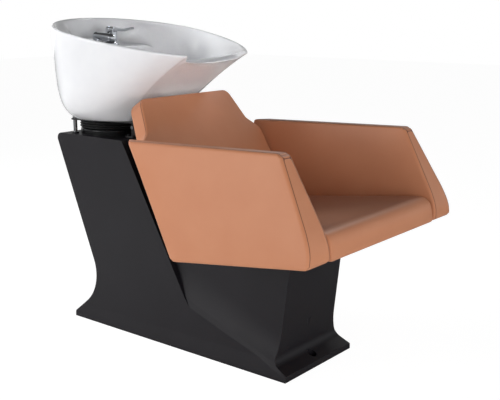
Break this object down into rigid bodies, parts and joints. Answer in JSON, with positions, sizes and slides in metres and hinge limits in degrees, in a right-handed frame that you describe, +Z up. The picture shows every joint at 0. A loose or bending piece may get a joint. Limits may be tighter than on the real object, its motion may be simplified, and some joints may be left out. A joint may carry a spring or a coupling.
{
  "type": "salon backwash unit",
  "caption": "Salon backwash unit: tilting ceramic shampoo basin on a moulded base, joined to a low upholstered armchair seat.",
  "frame": {"origin": "centre of the base's rectangular foot, on the floor, midway between the two floor bolts", "axes": "+X to the front of the seat, +Y to the sitter's left, +Z up"},
  "size_m": [1.103, 0.6946, 0.922],
  "materials": {
    "base": "moulded, fine satin grain",
    "collar": "smooth moulded",
    "sleeve": "ribbed rubber",
    "steel": "black powder coat",
    "bright": "bright ground",
    "zinc": "zinc plated",
    "bush": "turned",
    "bowl": "white glaze",
    "tap": "polished",
    "nut": "turned",
    "face": "moulded",
    "board": "plywood, unpainted",
    "upholstery": "tan synthetic leather, fine grain"
  },
  "bodies": {
    "base": {"base_shell": "base", "deck_plate": "steel", "basin_collar": "collar", "bellows": "sleeve", "rod_bushes": "bush", "hinge_bracket": "steel", "hinge_bolts": "zinc", "hinge_pin": "bright", "access_cover": "base", "cover_screws": "zinc", "seat_frame": "steel", "frame_bolts": "zinc", "seat_board": "board", "seat_cushion": "upholstery", "left_arm": "upholstery", "right_arm": "upholstery", "arm_bolts": "zinc", "backrest": "upholstery", "back_board": "board", "back_brackets": "steel"},
    "basin": {"tilt_plate": "steel", "bowl_pad": "sleeve", "basin_bowl": "bowl", "waste_flange": "tap", "waste_gasket": "sleeve", "waste_nut": "nut", "mixer_body": "tap", "mixer_nut": "nut", "spray_socket": "tap", "socket_nut": "nut"},
    "tap_cap": {"mixer_cap": "tap", "lever_pin": "bright"},
    "tap_lever": {"mixer_lever": "tap"},
    "spray": {"hand_spray": "tap", "spray_face": "face"},
    "strainer": {"hair_strainer": "tap"},
    "left_rod": {"left_tilt_rod": "bright", "left_rod_nut": "bright"},
    "right_rod": {"right_tilt_rod": "bright", "right_rod_nut": "bright"}
  },
  "joints": [
    {"name": "basin_tilt", "type": "hinge", "parent": "base", "child": "basin", "pos_m": [-0.238, 0, 0.602], "axis": [0, 1, 0], "range_deg": [-3, 3], "deforming": ["bellows"]},
    {"name": "rod_left_slide", "type": "slide", "parent": "base", "child": "left_rod", "axis": [0, 0, 1], "range_m": [-0.01094, 0.01094]},
    {"name": "rod_right_slide", "type": "slide", "parent": "base", "child": "right_rod", "axis": [0, 0, 1], "range_m": [-0.01094, 0.01094]},
    {"name": "mixer_swivel", "type": "hinge", "parent": "basin", "child": "tap_cap", "pos_m": [-0.378, 0, 0.843], "axis": [0.0993, 0, 0.9951], "range_deg": [-45, 45]},
    {"name": "mixer_lift", "type": "hinge", "parent": "tap_cap", "child": "tap_lever", "pos_m": [-0.37339, 0, 0.88917], "axis": [0, -1, 0], "range_deg": [0, 20]},
    {"name": "spray_lift", "type": "slide", "parent": "basin", "child": "spray", "axis": [0.0993, 0, 0.9951], "range_m": [0, 0.15]},
    {"name": "strainer_lift", "type": "slide", "parent": "basin", "child": "strainer", "axis": [0, 0, 1], "range_m": [0, 0.06]}
  ],
  "couplings": [
    {"joint": "rod_left_slide", "follows": "basin_tilt", "m_per_rad": 0.199},
    {"joint": "rod_right_slide", "follows": "basin_tilt", "m_per_rad": 0.199}
  ]
}
